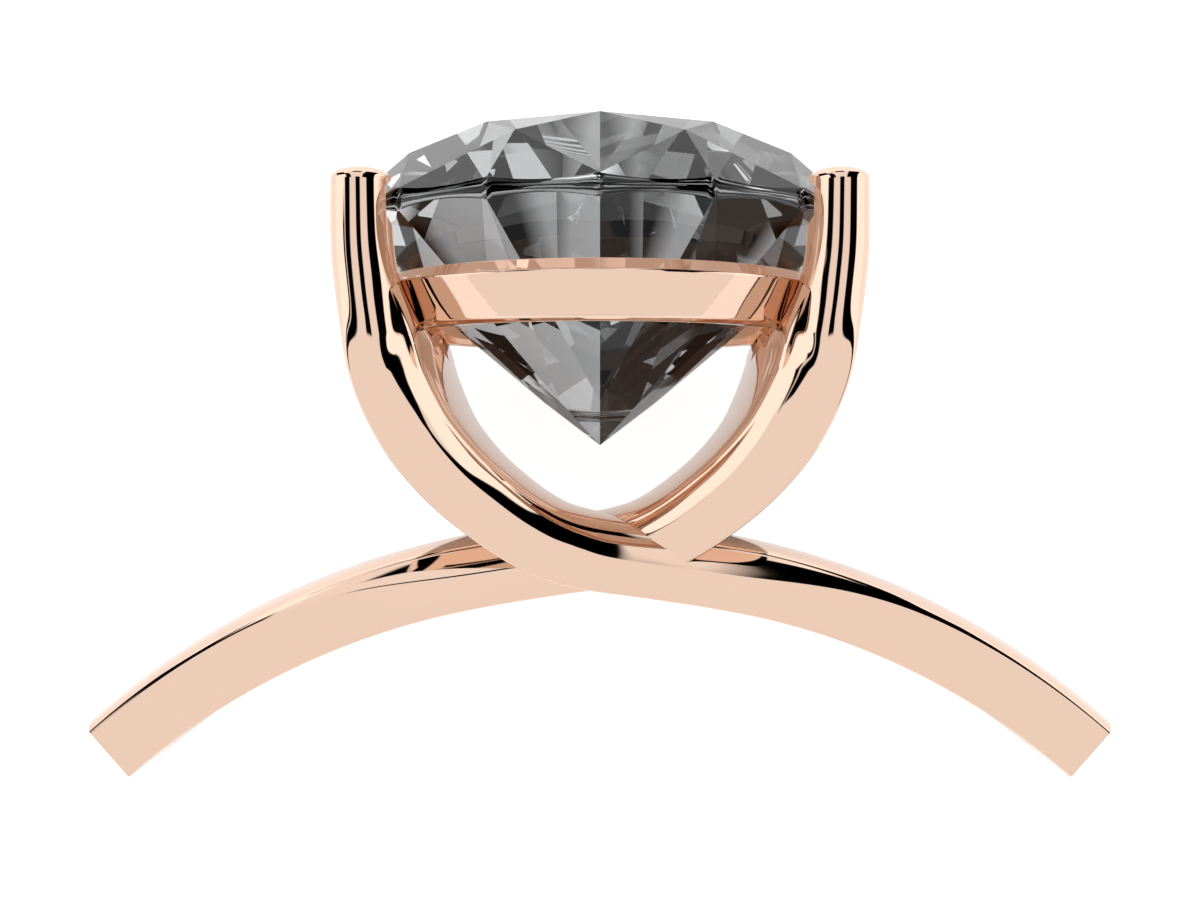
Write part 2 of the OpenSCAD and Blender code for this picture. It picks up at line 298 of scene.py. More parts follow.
def flat_parts(inner, depth, face, crease, crest):
    """Half of a shank section in parts, each as depths and heights: along the finger side, round a small
    fillet, up the flat face, over a shoulder whose slope grows evenly inwards, up a quarter ellipse to the
    crest and down the inner wall. Where the shoulder is low the ellipse starts steeper."""
    t = np.array([0, 0.5, 1])
    bottom = (inner + (depth - FILLET - HOLD - inner) * t, 0 * depth + 0 * t)
    a = np.linspace(-math.pi / 2, 0, FILLET_STEPS)
    fillet = (depth - FILLET + FILLET * np.cos(a), FILLET + FILLET * np.sin(a) + 0 * depth)
    t = np.linspace(0, 1, SIDE_STEPS)
    side = (depth + 0 * t, FILLET + HOLD + (face - FILLET - 2 * HOLD) * t)
    t = np.linspace(0, 1, SHOULDER_STEPS)
    tall = crease - face
    ledge = tall * (SHOULDER_START * t + (SHOULDER_END - SHOULDER_START) * t**2 / 2)
    shoulder = (depth - ledge, face + tall * t)
    start = DOME_START * np.clip(2 - tall / LOW_SHOULDER, 0, 1)
    a = start + (math.pi / 2 - start) * np.linspace(0, 1, DOME_STEPS + 1)[1:]
    wide = shoulder[0][:, -1:] - inner
    climb = (np.sin(a) - np.sin(start)) / (1 - np.sin(start))
    dome = (inner + wide * np.cos(a) / np.cos(start), crease + (crest - crease) * climb)
    t = np.arange(1, WALL_STEPS) / WALL_STEPS
    wall = (inner + 0 * t, crest * (1 - t))
    return [bottom, fillet, side, shoulder, dome, wall]


def raised_wire(section, outer, blend, wire_deep):
    """Where the section turns into wire, each point inside the wire's ellipse is pushed out to it along a ray
    from its middle: a point at the part r of the way goes to r times (1 + r^-n)^(1/n), with n the crispness.
    The ellipse grows with the blend, keeps touching the outside and is turned a little."""
    grown = np.clip(WIRE_FIRST + blend, 0, WIRE_FULL)
    middle = outer - grown * wire_deep / 2
    across, up = (section[..., 0] - middle) / wire_deep * 2, section[..., 1] / WIRE_MIDDLE - 1
    part = np.hypot((across + math.sin(WIRE_TURN) * up) / math.cos(WIRE_TURN), up) / grown
    part = np.maximum(part, 0.01)  # a middle point would need an endless push
    push = np.where(blend > 0, (1 + part**-CRISP)**(1 / CRISP), 1)
    return np.stack([middle + across * push * wire_deep / 2, WIRE_MIDDLE * (1 + up * push)], -1)


def half_section(s, wire_deep):
    """Half of every section in one array (ring, corner, depth and height), and the number of the crest's
    corner. By the column round it blends from the shank's parts into an ellipse, the prong wire."""
    inner = np.maximum(s[:, GAP], 0)[:, None]
    outer, face, crease, crest = (s[:, k][:, None] for k in (HALF, FACE, CREASE, CREST))
    blend = np.maximum(s[:, ROUND], 0)[:, None]
    parts = flat_parts(inner, outer - FACE_SINK * blend, face, crease, crest)
    flat = np.stack([np.hstack([p[k] for p in parts]) for k in (0, 1)], -1)
    counts = [part[0].shape[1] for part in parts]
    spans = [np.linspace(*WIRE_ANGLES[k:k + 2], n, endpoint=False) for k, n in enumerate(counts)]
    angles = np.radians(np.concatenate(spans))
    middle = outer - wire_deep / 2
    reach = np.cos(angles + WIRE_TURN)
    wire = np.stack([middle + np.where(reach > 0, wire_deep / 2, middle - inner) * reach,
                     crest / 2 * (1 + np.sin(angles))], -1)
    section = (1 - blend[:, :, None]) * flat + blend[:, :, None] * wire
    return raised_wire(section, outer, blend, wire_deep), sum(counts[:-1]) - 1


def arm_surface(sizes):
    """One arm as a sweep: at each place on the spline the half section stands on the curve, its height square
    to the heading and its depth along Y, once for the front strand and once mirrored for the back one. A tip
    ends in a dome: the last section shrinks by the cosine and rises by the sine of an angle up to 90 degrees.
    Up to the fork the two strands share the middle of the section, so they are one solid."""
    stations = arm_stations(sizes)
    last = len(stations) - 1
    fork = len(STUB_TABLE) + len(ARM_TABLE) - 1
    places = np.linspace(1, last, (last - 1) * STEPS_PER_STATION + 1)
    s, slope = spline(stations, places)
    heading = slope[:, :2] / np.linalg.norm(slope[:, :2], axis=1)[:, None]
    heading[-1] = (0, 1)
    section, crest_corner = half_section(s, sizes.wire_deep)

    a = np.radians(90) * np.arange(1, TIP_STEPS) / TIP_STEPS
    tip = section[-1:]
    middle = (tip.min(1, keepdims=True) + tip.max(1, keepdims=True)) / 2
    caps = middle + np.cos(a)[:, None, None] * (tip - middle)
    section = np.vstack([section, caps])
    s = np.vstack([s, np.repeat(s[-1:], len(a), 0)])
    heading = np.vstack([heading, np.repeat(heading[-1:], len(a), 0)])
    lift = np.concatenate([np.zeros(len(places)), TIP_CAP * np.sin(a)])

    depth, height = section[..., 0], section[..., 1]
    finger_r = finger_radius(sizes)
    x = s[:, X, None] + heading[:, 1, None] * height
    z = finger_r + s[:, RISE, None] - heading[:, 0, None] * height + lift[:, None]
    strands = [np.stack([x, side * depth - s[:, LEAN, None], z], -1) for side in (-1, 1)]
    points = np.stack(strands, 1)

    rings, corners = depth.shape
    number = np.arange(rings * 2 * corners).reshape(rings, 2, corners)
    fork_ring = (fork - 1) * STEPS_PER_STATION
    shared = np.r_[0, crest_corner:corners]
    number[:fork_ring + 1, 1, shared] = number[:fork_ring + 1, 0, shared]
    around = np.roll(number, -1, 2)
    quads = np.stack([number[:-1], number[1:], around[1:], around[:-1]], -1)
    quads[:, 0] = quads[:, 0, :, ::-1]
    inside = np.zeros(quads.shape[:3], bool)
    inside[:fork_ring, :, crest_corner:] = True
    walls = quads[~inside]

    peaks = (points[-1].min(1) + points[-1].max(1)) / 2
    peaks[:, 2] = finger_r + sizes.tip_rise
    edges = np.stack([number[-1], np.roll(number[-1], -1, 1)], -1)
    edges[1] = edges[1, :, ::-1].copy()
    peak = np.repeat([[number.size], [number.size + 1]], corners, 1)
    fans = np.dstack([edges, peak]).reshape(-1, 3)
    first = number[0, :, :crest_corner + 1]
    end = np.stack([first[1, :-1], first[1, 1:], first[0, 1:], first[0, :-1]], -1)
    return np.vstack([points.reshape(-1, 3), peaks]), [walls, fans, end]


def turned(radii, heights):
    """A profile turned about the stone's axis in equal steps: its points (side, corner, x y z) and their
    numbers."""
    turns = np.linspace(0, 2 * math.pi, TURN_SIDES, endpoint=False)[:, None]
    points = np.stack([radii * np.sin(turns), -radii * np.cos(turns), heights + 0 * turns], -1)
    return points, np.arange(TURN_SIDES * len(radii)).reshape(TURN_SIDES, -1)


def softened(profile):
    """Each corner of a closed profile becomes a quadratic curve from RAIL_SOFT before it to RAIL_SOFT after
    it, with one more point just outside each end that holds the side flat."""
    before = np.roll(profile, 1, 0) - profile
    after = np.roll(profile, -1, 0) - profile
    before /= np.linalg.norm(before, axis=1)[:, None]
    after /= np.linalg.norm(after, axis=1)[:, None]
    t = np.linspace(0, 1, SOFT_STEPS + 1)[:, None, None]
    curve = profile + RAIL_SOFT * ((1 - t)**2 * before + t**2 * after)
    first, last = ((profile + (RAIL_SOFT + HOLD) * way)[None] for way in (before, after))
    return np.concatenate([first, curve, last]).transpose(1, 0, 2).reshape(-1, 2)


def rail_surface(sizes):
    """The gallery rail: its closed profile, with a quadratic curve for the outer side and softened corners,
    turned about the stone's axis."""
    t = np.linspace(0, 1, RAIL_STEPS)[1:-1, None]
    side = (1 - t)**2 * RAIL_PROFILE[0] + 2 * t * (1 - t) * RAIL_BULGE + t**2 * RAIL_PROFILE[1]
    profile = softened(np.vstack([RAIL_PROFILE[:1], side, RAIL_PROFILE[1:]]))
    points, number = turned(profile[:, 0], profile[:, 1] + finger_radius(sizes))
    across = np.roll(number, -1, 1)
    quads = np.stack([number, np.roll(number, -1, 0), np.roll(across, -1, 0), across], -1)
    return points.reshape(-1, 3), [quads.reshape(-1, 4)]


def seat_surface(sizes):
    """Room for the stone: a turned shape that keeps the seat gap from its girdle and a little more from its
    facets, with a point below the culet and a flat top."""
    low, high, table = stone_heights(sizes)[:3]
    gap = sizes.seat_gap
    reach = sizes.stone_d / 2 + gap
    base = finger_radius(sizes) + sizes.culet_rise
    radii = np.array([reach, reach, sizes.stone_d / 2 * sizes.table_ratio])
    heights = np.array([low - GIRDLE_ROOM * gap, high + GIRDLE_ROOM * gap, table + TABLE_ROOM * gap])
    point = heights[0] - reach * math.tan(sizes.pavilion_angle)
    points, number = turned(radii, heights + base)
    onward = np.roll(number, -1, 0)
    quads = np.stack([number[:, :-1], onward[:, :-1], onward[:, 1:], number[:, 1:]], -1)
    ends = [[0, 0, point + base], [0, 0, heights[-1] + base]]
    fan_low = np.stack([np.full(TURN_SIDES, number.size), onward[:, 0], number[:, 0]], -1)
    fan_high = np.stack([np.full(TURN_SIDES, number.size + 1), number[:, -1], onward[:, -1]], -1)
    return np.vstack([points.reshape(-1, 3), ends]), [quads.reshape(-1, 4), fan_low, fan_high]


def girdle_surface(sizes):
    """The cylinder that trims the stone round, from a little below the culet to a little above the table."""
    base = finger_radius(sizes) + sizes.culet_rise
    ends = np.array([base - TRIM_MARGIN, base + stone_heights(sizes)[2] + TRIM_MARGIN])
    points, number = turned(np.full(2, sizes.stone_d / 2), ends)
    onward = np.roll(number, -1, 0)
    quads = np.stack([number[:, 0], onward[:, 0], onward[:, 1], number[:, 1]], -1)
    return points.reshape(-1, 3), [quads, number[None, ::-1, 0], number[None, :, 1]]


def brilliant_surface(sizes):
    """The facets of a round brilliant, each a flat face through corners at sixteenths of a turn: a table,
    eight stars, eight kites, sixteen upper halves, sixteen lower halves and eight mains. The facets next to
    the girdle run on past it, to be trimmed by a cylinder."""
    radius = sizes.stone_d / 2
    low, high, table_z, lower_rim = stone_heights(sizes)
    drop = math.tan(sizes.pavilion_angle)
    table_r = radius * sizes.table_ratio
    star_r = STAR_END * radius
    star_z = table_z - (star_r * math.cos(math.pi / 8) - table_r) * math.tan(sizes.crown_angle)
    lower_r = LOWER_START * radius
    lower_z = lower_r * math.cos(math.pi / 8) * drop

    def ring(r, turns, z):
        a = turns * math.pi / 8
        return np.stack([r * np.sin(a), -r * np.cos(a), np.full(8, float(z))], -1)

    def run_out(a, b, c):
        """The planes through a, b and c at the trim radius, on the even and the odd sixteenths."""
        normal = np.cross(b - a, c - a)
        ends = []
        for turns in (even, odd):
            p = ring(TRIM_REACH * radius, turns, 0)
            p[:, 2] = a[:, 2] - ((p - a)[:, :2] * normal[:, :2]).sum(1) / normal[:, 2]
            ends.append(p)
        return np.stack(ends, 1).reshape(-1, 3)

    even, odd = 2 * np.arange(8), 2 * np.arange(8) + 1
    table, star = ring(table_r, even, table_z), ring(star_r, odd, star_z)
    kite, main = ring(radius, even, high), ring(radius, odd, low)
    lower = ring(lower_r, even, lower_z)
    crown = run_out(star, kite, ring(radius, odd, high))
    rim = run_out(lower, main, ring(radius, even, lower_rim))
    points = np.vstack([table, star, kite, crown, lower, main, rim, [[0, 0, 0]]])
    # The number of each ring's first corner in that stack
    TABLE, STAR, KITE, CROWN, LOWER, MAIN, RIM, CULET = 0, 8, 16, 24, 40, 48, 56, 72
    k, k16 = np.arange(8), np.arange(16)
    after, before, after16 = (k + 1) % 8, (k + 7) % 8, (k16 + 1) % 16
    four = [
        np.stack([TABLE + k, STAR + before, KITE + k, STAR + k], -1),
        np.stack([STAR + k, KITE + k, CROWN + 2 * k, CROWN + 2 * k + 1], -1),
        np.stack([STAR + k, CROWN + 2 * k + 1, CROWN + 2 * after, KITE + after], -1),
        np.stack([CULET + 0 * k, LOWER + after, MAIN + k, LOWER + k], -1),
        np.stack([LOWER + k, MAIN + k, RIM + 2 * k + 1, RIM + 2 * k], -1),
        np.stack([LOWER + after, RIM + 2 * after, RIM + 2 * k + 1, MAIN + k], -1),
        np.stack([CROWN + k16, RIM + k16, RIM + after16, CROWN + after16], -1),
    ]
    stars = np.stack([TABLE + k, STAR + k, TABLE + after], -1)
    points[:, 2] += finger_radius(sizes) + sizes.culet_rise
    return points, [np.vstack(four), stars, (TABLE + k)[None]]


def mesh_from(name, points, face_sets):
    """A mesh of these points and faces, without unused points and without a face's doubled corners."""
    used = np.unique(np.concatenate([f.ravel() for f in face_sets]))
    order = np.zeros(len(points), int)
    order[used] = np.arange(len(used))
    faces = []
    for group in face_sets:
        group = order[group]
        if group.shape[1] == 4:
            double = (group == np.roll(group, -1, 1)).any(1)
            faces += group[~double].tolist()
            faces += [list(dict.fromkeys(row)) for row in group[double].tolist()]
        else:
            faces += group.tolist()
    mesh = bpy.data.meshes.new(name)
    mesh.from_pydata(points[used].tolist(), [], faces)
    mesh.update()
    mesh.validate()
    return mesh


def new_object(name, mesh):
    piece = bpy.data.objects.new(name, mesh)
    bpy.context.scene.collection.objects.link(piece)
    return piece


def new_solids(sizes, shapes):
    """An object for each named shape of upright points and faces, laid down on the floor."""
    return [new_object(name, mesh_from(name, lie(sizes, points), faces))
            for name, (points, faces) in shapes.items()]


def combined(name, base, others):
    """One closed mesh out of several: a Boolean joins each other solid to the base or cuts the base by it."""
    for other, operation in others:
        modifier = base.modifiers.new(other.name, "BOOLEAN")
        modifier.operation = operation
        modifier.object = other
        modifier.solver = "MANIFOLD"
    graph = bpy.context.evaluated_depsgraph_get()
    mesh = bpy.data.meshes.new_from_object(base.evaluated_get(graph))
    mesh.name = name
    base.modifiers.clear()
    base.data = mesh
    base.name = name
    for other, _ in others:
        bpy.data.objects.remove(other)
    if len(mesh.polygons) == 0:
        raise RuntimeError(f"{name}: the solids didn't combine")
    return base


def node(tree, kind, inputs=None, **settings):
    """A new shader node with its settings, and its inputs set to a value or linked to another socket."""
    new = tree.nodes.new(kind)
    for key, value in settings.items():
        setattr(new, key, value)
    for key, value in (inputs or {}).items():
        if isinstance(value, bpy.types.NodeSocket):
            tree.links.new(value, new.inputs[key])
        else:
            new.inputs[key].default_value = value
    return new


def maths(tree, operation, *values, clamp=False):
    inputs = dict(enumerate(values))
    return node(tree, "ShaderNodeMath", inputs, operation=operation, use_clamp=clamp).outputs[0]


def scaled(tree, colour, value):
    inputs = {0: colour, "Scale": value}
    return node(tree, "ShaderNodeVectorMath", inputs, operation="SCALE").outputs[0]


def new_group(name, inputs, outputs):
    """A shader node group with named sockets. Returns its tree, and the sockets it is given and puts out."""
    tree = bpy.data.node_groups.new(name, "ShaderNodeTree")
    for label, kind, default in inputs:
        socket = tree.interface.new_socket(label, in_out="INPUT", socket_type=kind)
        if default is not None:
            socket.default_value = default
    for label, kind in outputs:
        tree.interface.new_socket(label, in_out="OUTPUT", socket_type=kind)
    given, out = tree.nodes.new("NodeGroupInput"), tree.nodes.new("NodeGroupOutput")
    return tree, given.outputs, out.inputs


# The hand polish: scales of the mottle and of the hair lines, in repeats a metre
MOTTLE_SCALE = 900.0
HAIR_SCALE = 9000.0
# The stone: its refraction, the part of its outer sheen that the camera sees, and a painted glow of its
# outside that only the metal mirrors, a painted reflection of the stone in the gold
STONE_IOR = 2.4
OUTER_SHEEN = 0.12
PAINTED_GLOW_IN_METAL = (0.42, 0.29, 0.22)
# The board's own light for the camera, for the metal's first mirror image, and through the stone, where it is
# the least light plus stripes
BOARD_GLOW = 0.78
BOARD_SHINE = 0.5
THROUGH_LEAST = 0.02
THROUGH_STRIPES = 0.65
# Stripes of the light through the stone, in radians a metre across the board and in radians a degree to the
# right and up in the tent, with their contrast. They fade out to the left: their share is the place across
# times the fade, plus FADE_MIDDLE
BOARD_STRIPES = 1500.0
BOARD_CONTRAST = 2.0
BOARD_FADE = 180.0
TENT_STRIPES = (-0.13, 0.05)
TENT_CONTRAST = 3.0
TENT_FADE = 0.6
FADE_MIDDLE = 0.6


def polish_group():
    """Hand polish: a soft mottle of tone, a fine uneven haze in the gloss and hair lines too fine to see."""
    name = "Hand Polish"
    if name in bpy.data.node_groups:
        return bpy.data.node_groups[name]
    tree, given, out = new_group(
        name,
        [("Colour", "NodeSocketColor", (1, 1, 1, 1)), ("Mottle", "NodeSocketFloat", 0.03),
         ("Gloss", "NodeSocketFloat", 0.05), ("Haze", "NodeSocketFloat", 0.02)],
        [("Colour", "NodeSocketColor"), ("Roughness", "NodeSocketFloat"), ("Height", "NodeSocketFloat")],
    )
    place = node(tree, "ShaderNodeTexCoord").outputs["Object"]

    def noise(scale, detail):
        values = {"Vector": place, "Scale": scale, "Detail": detail}
        return node(tree, "ShaderNodeTexNoise", values).outputs["Fac"]

    def varied(pattern, spread, middle, clamp=False):
        offset = maths(tree, "SUBTRACT", pattern, 0.5)
        return maths(tree, "MULTIPLY_ADD", offset, spread, middle, clamp=clamp)

    cloudy, fine = noise(MOTTLE_SCALE, 3.0), noise(HAIR_SCALE, 4.0)
    tone = scaled(tree, given["Colour"], varied(cloudy, given["Mottle"], 1.0))
    tree.links.new(tone, out["Colour"])
    tree.links.new(varied(fine, given["Haze"], given["Gloss"], clamp=True), out["Roughness"])
    tree.links.new(fine, out["Height"])
    return tree


def polished_material(name, colour, mottle, gloss, haze):
    """A material whose roughness comes from the hand polish. Returns it with its tree, the inputs of its
    Principled shader and the outputs of the polish."""
    material = bpy.data.materials.new(name)
    material.use_nodes = True
    tree = material.node_tree
    surface = tree.nodes["Principled BSDF"].inputs
    values = {"Colour": colour, "Mottle": mottle, "Gloss": gloss, "Haze": haze}
    polish = node(tree, "ShaderNodeGroup", values, node_tree=polish_group()).outputs
    tree.links.new(polish["Roughness"], surface["Roughness"])
    return material, tree, surface, polish


def gold_material(colours):
    """Polished rose gold: a mirror metal with a trace of hand polish."""
    material, tree, surface, polish = polished_material(
        "Polished Rose Gold", colours.gold, mottle=0.02, gloss=0.035, haze=0.02)
    surface["Metallic"].default_value = 1
    bump = node(tree, "ShaderNodeBump", {"Height": polish["Height"], "Strength": 0.02, "Distance": 1e-6})
    tree.links.new(polish["Colour"], surface["Base Color"])
    tree.links.new(bump.outputs[0], surface["Normal"])
    return material


def in_mirror(tree, path):
    """1 for light paths that come from the metal's mirror and haven't passed the stone, else 0."""
    return maths(tree, "SUBTRACT", path["Is Glossy Ray"], path["Is Transmission Ray"], clamp=True)


def second_mirror(tree, path):
    """1 from the second reflection in the metal on, else 0."""
    return maths(tree, "GREATER_THAN", path["Glossy Depth"], 1.5)  # a whole number


def stone_material(colours):
    """Cut stone: clear smoky glass of a diamond's refraction, with a trace of hand polish. The camera sees a
    part of its outer sheen, and the metal mirrors a painted warm glow of its outside: a painted reflection
    in place of its sparkle."""
    material, tree, surface, polish = polished_material(
        "Cut Stone", colours.stone, mottle=0.02, gloss=0.004, haze=0.004)
    surface["Metallic"].default_value = 0
    surface["Transmission Weight"].default_value = 1
    surface["IOR"].default_value = STONE_IOR
    surface["Emission Strength"].default_value = 1
    path = node(tree, "ShaderNodeLightPath").outputs
    tint = maths(tree, "MULTIPLY_ADD", path["Is Camera Ray"], OUTER_SHEEN - 1, 1.0)
    inside = node(tree, "ShaderNodeNewGeometry").outputs["Backfacing"]
    # Painted glow: warm emission on the stone's outer faces, seen only in the metal's mirror, a painted
    # reflection
    outside = maths(tree, "SUBTRACT", in_mirror(tree, path), inside, clamp=True)
    tree.links.new(polish["Colour"], surface["Base Color"])
    tree.links.new(tint, surface["Specular Tint"])
    tree.links.new(scaled(tree, PAINTED_GLOW_IN_METAL, outside), surface["Emission Color"])
    return material


def stripes(tree, phase, contrast, across, fade):
    """Soft stripes, half plus the contrast times the sine of a phase, that fade out to the left."""
    wave = maths(tree, "MULTIPLY_ADD", maths(tree, "SINE", phase), contrast, 0.5, clamp=True)
    share = maths(tree, "MULTIPLY_ADD", across, fade, FADE_MIDDLE, clamp=True)
    return maths(tree, "MULTIPLY", wave, share)


def floor_material(colours):
    """Studio floor: matt white board with a faint uneven tone, and a little light of its own for the camera
    and, as a painted reflection, for the metal's first mirror image. Through the stone it shows as soft
    stripes of painted light instead."""
    material, tree, surface, polish = polished_material(
        "Studio Board", colours.floor, mottle=0.01, gloss=0.7, haze=0.1)
    surface["Specular IOR Level"].default_value = 0.1
    surface["Emission Color"].default_value = (1, 1, 1, 1)
    path = node(tree, "ShaderNodeLightPath").outputs
    share = maths(tree, "SUBTRACT", 1.0, path["Is Transmission Ray"])
    tree.links.new(scaled(tree, polish["Colour"], share), surface["Base Color"])
    place = node(tree, "ShaderNodeTexCoord").outputs["Object"]
    across = node(tree, "ShaderNodeSeparateXYZ", {"Vector": place}).outputs["X"]
    phase = maths(tree, "MULTIPLY", across, BOARD_STRIPES)
    shade = stripes(tree, phase, BOARD_CONTRAST, across, BOARD_FADE)
    # Painted light: the board glows only in the metal's first mirror image, and in stripes through the stone
    first = maths(tree, "SUBTRACT", in_mirror(tree, path), second_mirror(tree, path), clamp=True)
    glow = maths(tree, "MULTIPLY", path["Is Camera Ray"], BOARD_GLOW)
    glow = maths(tree, "MULTIPLY_ADD", first, BOARD_SHINE, glow)
    through = maths(tree, "MULTIPLY_ADD", shade, THROUGH_STRIPES, THROUGH_LEAST)
    glow = maths(tree, "ADD", glow, maths(tree, "MULTIPLY", path["Is Transmission Ray"], through))
    tree.links.new(glow, surface["Emission Strength"])
    return material


# Studio cards round the camera, by their direction from the ring: degrees up from the camera, and degrees to
# the right of it in the picture. Each covers the ones before it. The columns: low, high, the left edge at low
# and at high, the right edge at low and at high, softness, brightness
CARDS = [
    ("under", -180, -64, -180, -180, 180, 180, 12, 0.4),
    ("low left", -64, -16, -180, -180, -72, -84, 8, 0.45),
    ("low right", -64, -16, 72, 84, 180, 180, 8, 0.45),
    ("fill", -64, -2, -75, -47, 75, 45, 4, 1.25),
    ("front fill", -4, 16, -32, -32, 32, 32, 3, 1.25),
    ("top fill", 14, 80, -34, -34, 27, 30, 4, 1.3),
    ("left flag", -19, 14, -46, -46, -35, -26, 3, 0.0),
    ("core", 1, 14, -7, -7, 7, 7, 2, 0.0),
    ("right flag", -43, 72, 30, 26, 44, 66, 2, 0.0),
    ("far flag", 25, 62, -84, -84, -42, -50, 3, 0.0),
    ("low far flag", -25, 10, -48, -55, -47, -48, 2, 0.0),
    ("right step", 12, 72, 15, 24.6, 40, 60, 1.5, 0.0),
    ("left step", 12, 44, -38, -52, -20, -34, 2, 0.0),
    ("high flag", 54, 76, -18, -18, 8, 8, 3, 0.0),
]
CARD_SOCKETS = [
    "Right", "Up", "Low", "High", "Left at low", "Left at high", "Right at low", "Right at high", "Soft",
]
# Brightness of the tent behind the cards and of the backdrop that the camera sees, and the part of the light
# that is left in the metal's second mirror image
TENT = 1.7
BACKDROP = 1.02
SECOND = 0.8


def card_group():
    """One card of the studio as a soft-edged mask over the directions right and up, in degrees."""
    inputs = [(label, "NodeSocketFloat", None) for label in CARD_SOCKETS]
    tree, given, out = new_group("Studio Card", inputs, [("Mask", "NodeSocketFloat")])
    share = maths(tree, "DIVIDE", maths(tree, "SUBTRACT", given["Up"], given["Low"]),
                  maths(tree, "SUBTRACT", given["High"], given["Low"]))

    def edge(name):
        gain = maths(tree, "SUBTRACT", given[f"{name} at high"], given[f"{name} at low"])
        return maths(tree, "MULTIPLY_ADD", gain, share, given[f"{name} at low"])

    def within(low, high):
        inset = maths(tree, "DIVIDE", maths(tree, "SUBTRACT", high, low), given["Soft"])
        return maths(tree, "ADD", inset, 0.5, clamp=True)

    mask = within(given["Low"], given["Up"])
    for side in (within(given["Up"], given["High"]), within(edge("Left"), given["Right"]),
                 within(given["Right"], edge("Right"))):
        mask = maths(tree, "MULTIPLY", mask, side)
    tree.links.new(mask, out["Mask"])
    return tree


def build_studio(sizes):
    """Light from a white tent all round with black and grey cards in front of it, as a world shader. The
    camera itself sees a plain pale backdrop, soft stripes shine through the stone, and second reflections in
    the metal are a little dimmer."""
    turn = resting(sizes)[0]
    world = bpy.data.worlds.new("Light Tent")
    bpy.context.scene.world = world
    world.use_nodes = True
    tree = world.node_tree
    tree.nodes.clear()
    ray = node(tree, "ShaderNodeTexCoord").outputs["Generated"]

    def along(*axis):
        inputs = {0: ray, 1: axis}
        return node(tree, "ShaderNodeVectorMath", inputs, operation="DOT_PRODUCT").outputs["Value"]

    def square(value):
        return maths(tree, "MULTIPLY", value, value)

    def changed(light, flag, change):
        """The light, changed by this part of it where the flag is 1."""
        return maths(tree, "MULTIPLY", light, maths(tree, "MULTIPLY_ADD", flag, change, 1.0))

    # A ray's degrees to the right and up: its whole angle from the camera's direction, split by its two parts
    right_part = along(1, 0, 0)
    up_part = along(0, math.sin(turn), math.cos(turn))
    front_part = along(0, -math.cos(turn), math.sin(turn))
    away = maths(tree, "MULTIPLY", maths(tree, "ARCCOSINE", front_part), 180 / math.pi)
    length = maths(tree, "SQRT", maths(tree, "ADD", square(right_part), square(up_part)))
    scale = maths(tree, "DIVIDE", away, maths(tree, "MAXIMUM", length, 0.0001))  # never by nothing
    right_of, above = maths(tree, "MULTIPLY", right_part, scale), maths(tree, "MULTIPLY", up_part, scale)
    group = card_group()
    light = TENT
    for name, *edges, tone in CARDS:
        inputs = dict(zip(CARD_SOCKETS, (right_of, above, *edges)))
        card = node(tree, "ShaderNodeGroup", inputs, node_tree=group, label=name)
        change = maths(tree, "SUBTRACT", tone, light)
        light = maths(tree, "MULTIPLY_ADD", card.outputs[0], change, light)
    path = node(tree, "ShaderNodeLightPath").outputs
    across, upwards = TENT_STRIPES
    phase = maths(tree, "MULTIPLY_ADD", right_of, across, maths(tree, "MULTIPLY", above, upwards))
    shade = stripes(tree, phase, TENT_CONTRAST, right_part, TENT_FADE)
    light = changed(light, path["Is Transmission Ray"], maths(tree, "SUBTRACT", shade, 1.0))
    again = maths(tree, "SUBTRACT", second_mirror(tree, path), path["Is Transmission Ray"], clamp=True)
    light = changed(light, again, SECOND - 1)
    backdrop = maths(tree, "SUBTRACT", BACKDROP, light)
    strength = maths(tree, "MULTIPLY_ADD", path["Is Camera Ray"], backdrop, light)
    background = node(tree, "ShaderNodeBackground", {"Strength": strength})
    tree.links.new(background.outputs[0], node(tree, "ShaderNodeOutputWorld").inputs[0])


# The camera of the photograph, upright: its distance from the stone's axis, its height over the finger hole,
# its focal length and frame in pixels, its sensor in millimetres, and from where to where it sees, in metres
CAMERA_AWAY = 19.724
CAMERA_RISE = 1.854
FOCAL_PX = 1525
FRAME_PX = 1200
SENSOR = 36
NEAR = 0.001
FAR = 10
# Half of the floor's side, in metres
FLOOR_REACH = 0.6


def build_camera(sizes):
    """The photograph's camera: level with the ring when it stood upright, so it looks down steeply now."""
    turn = resting(sizes)[0]
    place = lie(sizes, np.array([0, -CAMERA_AWAY, finger_radius(sizes) + CAMERA_RISE]))
    camera = bpy.data.cameras.new("Camera")
    camera.sensor_width = SENSOR
    camera.lens = SENSOR * FOCAL_PX / FRAME_PX
    camera.clip_start = NEAR
    camera.clip_end = FAR
    item = new_object("Camera", camera)
    item.matrix_world = Matrix.Translation(place.tolist()) @ Matrix.Rotation(math.pi / 2 - turn, 4, "X")
    bpy.context.scene.camera = item


def finish_piece(piece, cad_node, material):
    """Gives a piece its material and its body, and hides the CAD node that it stands for."""
    piece.data.materials.clear()
    piece.data.materials.append(material)
    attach(piece, BODY)
    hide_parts(cad_node)


class RING_OT_mount(bpy.types.Operator):
    """Build the mount: both arms, the prongs that they fork into and the gallery rail, as one solid"""

    bl_idname = "ring.mount"
    bl_label = "Ring Mount"

    def execute(self, context):
        sizes, colours = context.scene.ring_sizes, context.scene.ring_colours
        points, faces = arm_surface(sizes)
        half_turned = points * (-1, -1, 1)
        arm, other, rail, seat = new_solids(sizes, {
            "arm": (points, faces), "other_arm": (half_turned, faces),
            "rail": rail_surface(sizes), "seat": seat_surface(sizes),
        })
        mount = combined("polished_mount", arm, [(other, "UNION"), (rail, "UNION"), (seat, "DIFFERENCE")])
        mount.data.shade_smooth()
        mount.data.set_sharp_from_angle(angle=SMOOTH_BELOW)
        finish_piece(mount, "ring_mount", gold_material(colours))
        mount.visible_transmission = False
        return {"FINISHED"}


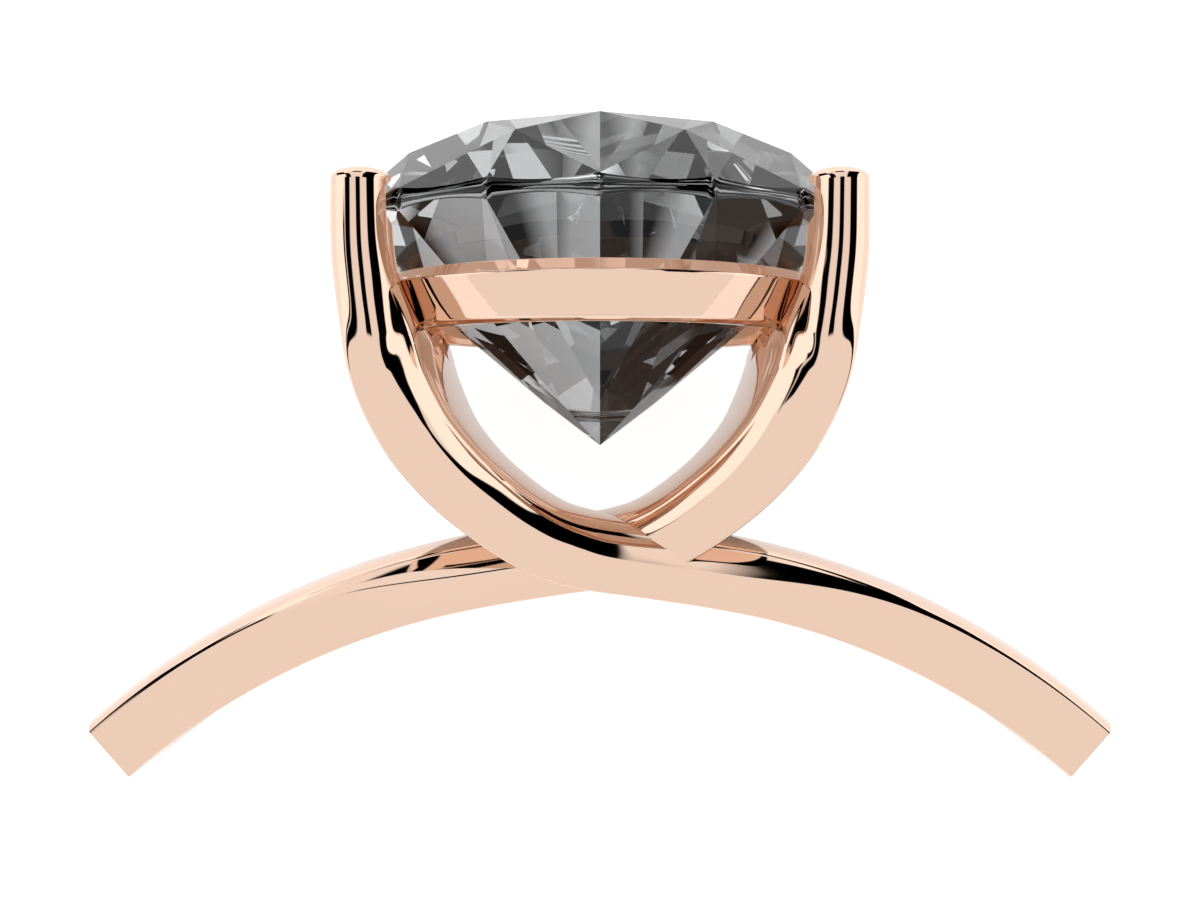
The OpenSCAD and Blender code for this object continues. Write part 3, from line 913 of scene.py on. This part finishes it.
class RING_OT_stone(bpy.types.Operator):
    """Build the round brilliant with its facets and round girdle"""

    bl_idname = "ring.stone"
    bl_label = "Round Brilliant"

    def execute(self, context):
        sizes, colours = context.scene.ring_sizes, context.scene.ring_colours
        facets, girdle = new_solids(sizes, {
            "brilliant": brilliant_surface(sizes), "girdle": girdle_surface(sizes),
        })
        stone = combined("brilliant", facets, [(girdle, "INTERSECT")])
        turn = resting(sizes)[0]
        axis = np.array([0, math.sin(turn), math.cos(turn)])
        normals = np.zeros(len(stone.data.polygons) * 3)
        stone.data.polygons.foreach_get("normal", normals)
        round_faces = np.abs(normals.reshape(-1, 3) @ axis) < GIRDLE_LEVEL
        stone.data.polygons.foreach_set("use_smooth", round_faces)
        finish_piece(stone, "stone", stone_material(colours))
        return {"FINISHED"}


class RING_OT_stage(bpy.types.Operator):
    """Build the pale floor, the light tent and the camera"""

    bl_idname = "ring.stage"
    bl_label = "Studio"

    def execute(self, context):
        sizes, colours = context.scene.ring_sizes, context.scene.ring_colours
        corners = np.array([[-1, -1, 0], [1, -1, 0], [1, 1, 0], [-1, 1, 0]]) * FLOOR_REACH
        floor = new_object("studio_floor", mesh_from("studio_floor", corners, [np.arange(4)[None]]))
        floor.data.materials.append(floor_material(colours))
        build_studio(sizes)
        build_camera(sizes)
        context.scene.view_settings.view_transform = "Standard"
        return {"FINISHED"}


class RING_PT_panel(bpy.types.Panel):
    """Sizes, colours and the building steps of the ring head"""

    bl_idname = "RING_PT_panel"
    bl_label = "Solitaire Ring Head"
    bl_space_type = "VIEW_3D"
    bl_region_type = "UI"
    bl_category = "Ring"

    def draw(self, context):
        for group in (context.scene.ring_sizes, context.scene.ring_colours):
            for name in group.__annotations__:
                self.layout.prop(group, name)
        for step in STEPS:
            self.layout.operator(step.bl_idname)


STEPS = (RING_OT_mount, RING_OT_stone, RING_OT_stage)
CLASSES = (RingSizes, RingColours, *STEPS, RING_PT_panel)


def register():
    for item in CLASSES:
        bpy.utils.register_class(item)
    bpy.types.Scene.ring_sizes = bpy.props.PointerProperty(type=RingSizes)
    bpy.types.Scene.ring_colours = bpy.props.PointerProperty(type=RingColours)


def unregister():
    del bpy.types.Scene.ring_colours
    del bpy.types.Scene.ring_sizes
    for item in reversed(CLASSES):
        bpy.utils.unregister_class(item)


def main():
    register()
    bpy.ops.ring.mount()
    bpy.ops.ring.stone()
    bpy.ops.ring.stage()
    bpy.context.view_layer.update()


if __name__ == "__main__":
    main()
